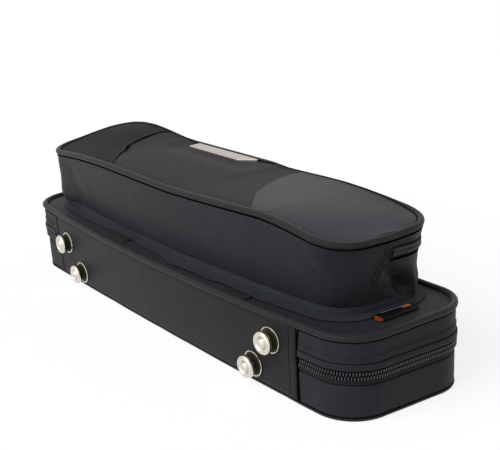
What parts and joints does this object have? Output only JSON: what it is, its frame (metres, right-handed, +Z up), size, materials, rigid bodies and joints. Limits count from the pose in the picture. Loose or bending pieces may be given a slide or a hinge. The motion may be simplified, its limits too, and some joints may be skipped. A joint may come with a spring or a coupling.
{
  "type": "flute case",
  "caption": "Padded nylon flute case with a zip-closed lid on a fabric spine with metal feet, a zipped accessory pocket on the lid and webbing handles.",
  "frame": {"origin": "on the supporting surface, under the middle of the case body's length and width", "axes": "+X along the case, +Y from the spine with the feet towards the handles, +Z up out of the lid"},
  "size_m": [0.4504, 0.1916, 0.1213],
  "materials": {
    "nylon": "coarse black nylon weave",
    "spine_nylon": "smooth black nylon",
    "ribbed_nylon": "finely ribbed black nylon",
    "gusset_nylon": "thin black diagonal-weave nylon",
    "patch_nylon": "smooth black nylon with a cool sheen",
    "tape": "black ribbed woven tape",
    "webbing": "black woven webbing",
    "coil": "black nylon coil",
    "plush": "short black plush",
    "foam": "grey padding",
    "shell": "moulded black shell",
    "nickel": "polished nickel",
    "washer_steel": "zinc-plated steel",
    "plate_metal": "satin silver",
    "woven_tag": "black woven tape with an orange stripe",
    "wrap_padding": "padded black nylon",
    "zip_metal": "black enamelled metal"
  },
  "bodies": {
    "base": {"base_cover": "nylon", "base_shell": "shell", "base_lining": "plush", "flute_bed": "plush", "base_piping": "nylon", "base_straps": "webbing", "base_spine_panel": "spine_nylon", "base_spine_bindings": "spine_nylon", "base_feet": "nickel", "base_foot_washers": "washer_steel", "zip_lower_tape": "tape", "zip_lower_coil": "coil"},
    "lid": {"lid_cover": "nylon", "lid_shell": "shell", "lid_padding": "foam", "lid_top_panel": "ribbed_nylon", "lid_piping": "nylon", "lid_lining": "plush", "lid_cushion": "plush", "lid_straps": "webbing", "lid_spine_panel": "spine_nylon", "lid_spine_bindings": "spine_nylon", "lid_feet": "nickel", "lid_foot_washers": "washer_steel", "zip_upper_tape": "tape", "zip_upper_coil": "coil", "zip_flap": "nylon", "pocket_floor": "gusset_nylon", "pocket_flange": "tape", "pocket_front_gusset": "gusset_nylon", "pocket_rear_gusset": "gusset_nylon", "pocket_lower_tape": "tape", "pocket_lower_coil": "coil", "pocket_top_front": "ribbed_nylon", "pocket_piping_front": "nylon", "left_patch_front": "patch_nylon", "right_patch_front": "patch_nylon", "loop_tag": "woven_tag"},
    "pocket_flap": {"flap_band": "gusset_nylon", "pocket_upper_tape": "tape", "pocket_upper_coil": "coil", "flap_panel": "ribbed_nylon", "flap_piping": "nylon", "left_patch_rear": "patch_nylon", "right_patch_rear": "patch_nylon", "name_plate": "plate_metal"},
    "lid_handle": {"lid_handle": "webbing", "handle_wrap": "wrap_padding"},
    "base_handle": {"base_handle": "webbing"},
    "left_slider": {"left_slider": "zip_metal"},
    "right_slider": {"right_slider": "zip_metal"},
    "left_pull": {"left_pull": "zip_metal"},
    "right_pull": {"right_pull": "zip_metal"},
    "pocket_left_slider": {"pocket_left_slider": "zip_metal"},
    "pocket_right_slider": {"pocket_right_slider": "zip_metal"},
    "pocket_left_pull": {"pocket_left_pull": "zip_metal"},
    "pocket_right_pull": {"pocket_right_pull": "zip_metal"}
  },
  "joints": [
    {"name": "lid_hinge", "type": "hinge", "parent": "base", "child": "lid", "pos_m": [0, -0.06267, 0.0247], "axis": [1, 0, 0], "range_deg": [0, 100]},
    {"name": "pocket_flap_fold", "type": "hinge", "parent": "lid", "child": "pocket_flap", "pos_m": [0, -0.003, 0.1203], "axis": [1, 0, 0], "range_deg": [0, 100]},
    {"name": "lid_handle_swing", "type": "hinge", "parent": "lid", "child": "lid_handle", "pos_m": [0.0175, 0.05935, 0.0486], "axis": [1, 0, 0], "range_deg": [0, 90]},
    {"name": "base_handle_swing", "type": "hinge", "parent": "base", "child": "base_handle", "pos_m": [0.0175, 0.05935, 0.008], "axis": [1, 0, 0], "range_deg": [0, 34]},
    {"name": "left_slider_run", "type": "slide", "parent": "lid", "child": "left_slider", "axis": [-1, 0, 0], "range_m": [0, 0.165]},
    {"name": "right_slider_run", "type": "slide", "parent": "lid", "child": "right_slider", "axis": [1, 0, 0], "range_m": [0, 0.165]},
    {"name": "left_pull_swing", "type": "hinge", "parent": "left_slider", "child": "left_pull", "pos_m": [-0.0075, 0.0612, 0.03165], "axis": [0, 0, -1], "range_deg": [0, 100]},
    {"name": "right_pull_swing", "type": "hinge", "parent": "right_slider", "child": "right_pull", "pos_m": [0.0075, 0.0612, 0.03165], "axis": [0, 0, 1], "range_deg": [0, 100]},
    {"name": "pocket_left_slider_run", "type": "slide", "parent": "pocket_flap", "child": "pocket_left_slider", "axis": [-1, 0, 0], "range_m": [0, 0.15]},
    {"name": "pocket_right_slider_run", "type": "slide", "parent": "pocket_flap", "child": "pocket_right_slider", "axis": [1, 0, 0], "range_m": [0, 0.15]},
    {"name": "pocket_left_pull_swing", "type": "hinge", "parent": "pocket_left_slider", "child": "pocket_left_pull", "pos_m": [-0.006, 0.0476, 0.0975], "axis": [0, 0, -1], "range_deg": [0, 100]},
    {"name": "pocket_right_pull_swing", "type": "hinge", "parent": "pocket_right_slider", "child": "pocket_right_pull", "pos_m": [0.006, 0.0476, 0.0975], "axis": [0, 0, 1], "range_deg": [0, 100]}
  ]
}
